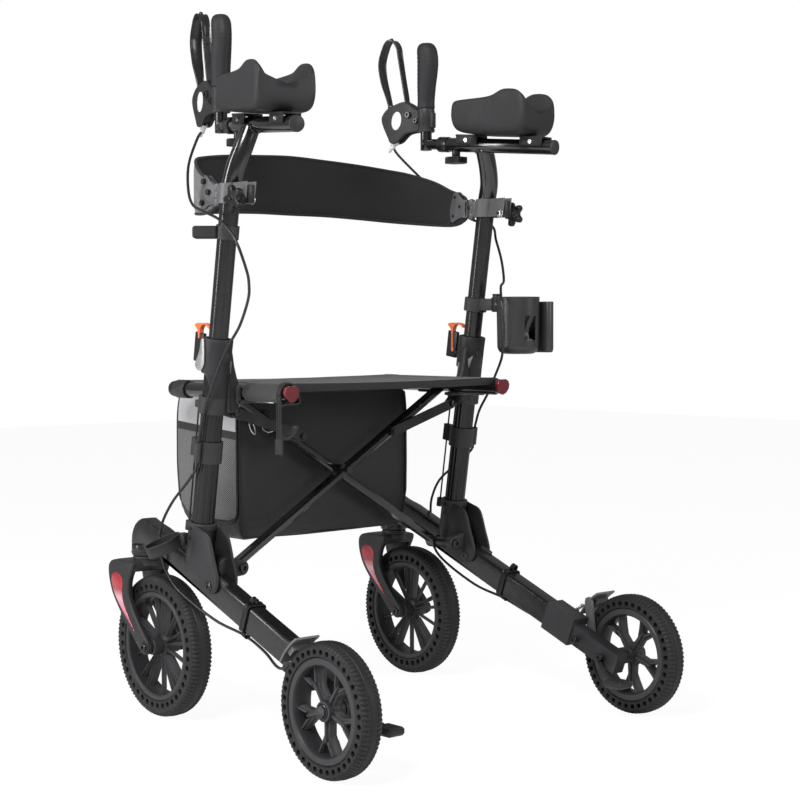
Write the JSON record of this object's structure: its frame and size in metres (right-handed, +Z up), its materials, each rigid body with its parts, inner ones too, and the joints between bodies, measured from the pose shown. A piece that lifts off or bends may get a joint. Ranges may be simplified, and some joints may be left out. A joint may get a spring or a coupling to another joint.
{
  "type": "four-wheel rollator",
  "caption": "Upright rollator with forearm rests, hand grips with loop brakes, height-adjustable posts, a folding cross brace, seat sling, bag and back belt.",
  "frame": {"origin": "floor level, at the middle of the footprint", "axes": "+X to the user's right, +Y the way forward, +Z up"},
  "size_m": [0.6978, 0.7368, 1.1874],
  "materials": {
    "frame": "satin black lacquer",
    "black_plastic": "fine grained dark grey",
    "grey_sheet": "smooth mid grey",
    "tyre": "matt with tread blocks",
    "grip": "soft ribbed",
    "pad": "skin of moulded foam",
    "fabric": "woven nylon",
    "latch": "smooth orange red",
    "reflector": "clear red prisms",
    "cable": "smooth black sheath"
  },
  "bodies": {
    "left_side": {"leg_left": "frame", "outer_post_left": "frame", "lower_bracket_left": "black_plastic", "upper_bracket_left": "black_plastic", "cable_strap_left": "black_plastic", "leg_end_left": "black_plastic", "cable_lower_left": "cable", "cane_cup": "black_plastic"},
    "right_side": {"leg_right": "frame", "outer_post_right": "frame", "lower_bracket_right": "black_plastic", "upper_bracket_right": "black_plastic", "cable_strap_right": "black_plastic", "leg_end_right": "black_plastic", "cable_lower_right": "cable"},
    "first_bar": {"brace_a": "frame", "reflector_right": "reflector"},
    "second_bar": {"brace_b": "frame", "reflector_left": "reflector"},
    "hook": {"cane_hook": "black_plastic"},
    "soft_goods": {"seat": "fabric", "bag": "fabric"},
    "link_left": {"link_plate_left": "frame"},
    "height_left": {"inner_post_left": "frame", "backrest_clamp_left": "grey_sheet", "forearm_pad_left": "pad", "cable_upper_left": "cable", "belt": "fabric", "cane_clip": "black_plastic"},
    "latch_left": {"latch_lever_left": "latch"},
    "shoe_left": {"brake_shoe_left": "grey_sheet"},
    "rear_wheel_left": {"rear_rim_left": "black_plastic", "rear_tyre_left": "tyre"},
    "caster_left": {"caster_fork_left": "black_plastic"},
    "front_wheel_left": {"front_rim_left": "black_plastic", "front_tyre_left": "tyre"},
    "handle_left": {"extension_left": "frame", "grip_left": "grip"},
    "lever_left": {"brake_lever_left": "black_plastic"},
    "knob_left": {"extension_knob_left": "black_plastic"},
    "star_left": {"star_knob_left": "black_plastic"},
    "link_right": {"link_plate_right": "frame"},
    "height_right": {"inner_post_right": "frame", "backrest_clamp_right": "grey_sheet", "forearm_pad_right": "pad", "cable_upper_right": "cable", "cup_holder": "black_plastic"},
    "latch_right": {"latch_lever_right": "latch"},
    "shoe_right": {"brake_shoe_right": "grey_sheet"},
    "rear_wheel_right": {"rear_rim_right": "black_plastic", "rear_tyre_right": "tyre"},
    "caster_right": {"caster_fork_right": "black_plastic"},
    "front_wheel_right": {"front_rim_right": "black_plastic", "front_tyre_right": "tyre"},
    "handle_right": {"extension_right": "frame", "grip_right": "grip"},
    "lever_right": {"brake_lever_right": "black_plastic"},
    "knob_right": {"extension_knob_right": "black_plastic"},
    "star_right": {"star_knob_right": "black_plastic"}
  },
  "joints": [
    {"name": "fold", "type": "hinge", "parent": "left_side", "child": "first_bar", "pos_m": [-0.2368, 0.106, 0.2655], "axis": [0, -1, 0], "range_deg": [0, 42], "deforming": ["seat", "bag", "belt"]},
    {"name": "cross_pivot", "type": "hinge", "parent": "first_bar", "child": "second_bar", "pos_m": [0, 0.137, 0.412], "axis": [0, -1, 0], "range_deg": [-84, 0]},
    {"name": "right_foot_pivot", "type": "hinge", "parent": "second_bar", "child": "right_side", "pos_m": [0.2368, 0.137, 0.2655], "axis": [0, -1, 0], "range_deg": [0, 42]},
    {"name": "seat_hang", "type": "hinge", "parent": "first_bar", "child": "soft_goods", "pos_m": [0.2324, 0.12, 0.5541], "axis": [0, -1, 0], "range_deg": [-42, 0]},
    {"name": "hook_hang", "type": "hinge", "parent": "second_bar", "child": "hook", "pos_m": [-0.2324, -0.037, 0.5541], "axis": [0, -1, 0], "range_deg": [0, 42]},
    {"name": "link_left_pivot", "type": "hinge", "parent": "left_side", "child": "link_left", "pos_m": [-0.2406, 0.092, 0.5197], "axis": [0, -1, 0], "range_deg": [0, 89.88]},
    {"name": "height_slide_left", "type": "slide", "parent": "left_side", "child": "height_left", "axis": [0, -0.1558, 0.9878], "range_m": [-0.03, 0.1], "deforming": ["cable_upper_left"]},
    {"name": "latch_left_hinge", "type": "hinge", "parent": "left_side", "child": "latch_left", "pos_m": [-0.281, 0.122, 0.612], "axis": [-1, 0, 0], "range_deg": [0, 10]},
    {"name": "rear_roll_left", "type": "hinge", "parent": "left_side", "child": "rear_wheel_left", "pos_m": [-0.3303, -0.2667, 0.1016], "axis": [1, 0, 0], "continuous": true},
    {"name": "caster_swivel_left", "type": "hinge", "parent": "left_side", "child": "caster_left", "pos_m": [-0.2804, 0.3, 0.26], "axis": [0, 0, 1], "continuous": true},
    {"name": "front_roll_left", "type": "hinge", "parent": "caster_left", "child": "front_wheel_left", "pos_m": [-0.2804, 0.248, 0.1205], "axis": [1, 0, 0], "continuous": true},
    {"name": "reach_slide_left", "type": "slide", "parent": "height_left", "child": "handle_left", "axis": [0.1894, 0.9781, 0.086], "range_m": [0, 0.06]},
    {"name": "brake_lever_hinge_left", "type": "hinge", "parent": "handle_left", "child": "lever_left", "pos_m": [-0.22103, 0.1773, 1.0458], "axis": [0.9818, -0.1901, 0], "range_deg": [0, 14], "stiffness_Nm_per_rad": 0.4},
    {"name": "brake_shoe_hinge_left", "type": "hinge", "parent": "left_side", "child": "shoe_left", "pos_m": [-0.3055, -0.194, 0.124], "axis": [1, 0, 0], "range_deg": [0, 3.5]},
    {"name": "reach_knob_left", "type": "hinge", "parent": "height_left", "child": "knob_left", "pos_m": [-0.24005, 0.07912, 0.95796], "axis": [0, 0, 1], "range_deg": [0, 180]},
    {"name": "clamp_knob_left", "type": "hinge", "parent": "height_left", "child": "star_left", "pos_m": [-0.3068, -0.0005, 0.86], "axis": [1, 0, 0], "range_deg": [0, 180]},
    {"name": "link_right_pivot", "type": "hinge", "parent": "right_side", "child": "link_right", "pos_m": [0.2406, 0.092, 0.5197], "axis": [0, -1, 0], "range_deg": [-89.88, 0]},
    {"name": "height_slide_right", "type": "slide", "parent": "right_side", "child": "height_right", "axis": [0, -0.1558, 0.9878], "range_m": [-0.03, 0.1], "deforming": ["cable_upper_right"]},
    {"name": "latch_right_hinge", "type": "hinge", "parent": "right_side", "child": "latch_right", "pos_m": [0.281, 0.122, 0.612], "axis": [-1, 0, 0], "range_deg": [0, 10]},
    {"name": "rear_roll_right", "type": "hinge", "parent": "right_side", "child": "rear_wheel_right", "pos_m": [0.3303, -0.2667, 0.1016], "axis": [1, 0, 0], "continuous": true},
    {"name": "caster_swivel_right", "type": "hinge", "parent": "right_side", "child": "caster_right", "pos_m": [0.2804, 0.3, 0.26], "axis": [0, 0, 1], "continuous": true},
    {"name": "front_roll_right", "type": "hinge", "parent": "caster_right", "child": "front_wheel_right", "pos_m": [0.2804, 0.248, 0.1205], "axis": [1, 0, 0], "continuous": true},
    {"name": "reach_slide_right", "type": "slide", "parent": "height_right", "child": "handle_right", "axis": [-0.1894, 0.9781, 0.086], "range_m": [0, 0.06]},
    {"name": "brake_lever_hinge_right", "type": "hinge", "parent": "handle_right", "child": "lever_right", "pos_m": [0.22103, 0.1773, 1.0458], "axis": [0.9818, 0.1901, 0], "range_deg": [0, 14], "stiffness_Nm_per_rad": 0.4},
    {"name": "brake_shoe_hinge_right", "type": "hinge", "parent": "right_side", "child": "shoe_right", "pos_m": [0.3055, -0.194, 0.124], "axis": [1, 0, 0], "range_deg": [0, 3.5]},
    {"name": "reach_knob_right", "type": "hinge", "parent": "height_right", "child": "knob_right", "pos_m": [0.24005, 0.07912, 0.95796], "axis": [0, 0, 1], "range_deg": [0, 180]},
    {"name": "clamp_knob_right", "type": "hinge", "parent": "height_right", "child": "star_right", "pos_m": [0.3068, -0.0005, 0.86], "axis": [1, 0, 0], "range_deg": [0, 180]}
  ],
  "couplings": [
    {"joint": "hook_hang", "follows": "fold", "ratio": 1},
    {"joint": "cross_pivot", "follows": "fold", "ratio": -2},
    {"joint": "right_foot_pivot", "follows": "fold", "ratio": 1},
    {"joint": "seat_hang", "follows": "fold", "ratio": -1},
    {"joint": "link_left_pivot", "follows": "fold", "ratio": 2.14},
    {"joint": "brake_shoe_hinge_left", "follows": "brake_lever_hinge_left", "ratio": 0.25},
    {"joint": "link_right_pivot", "follows": "fold", "ratio": -2.14},
    {"joint": "brake_shoe_hinge_right", "follows": "brake_lever_hinge_right", "ratio": 0.25},
    {"joint": "height_slide_right", "follows": "height_slide_left", "ratio": 1}
  ]
}
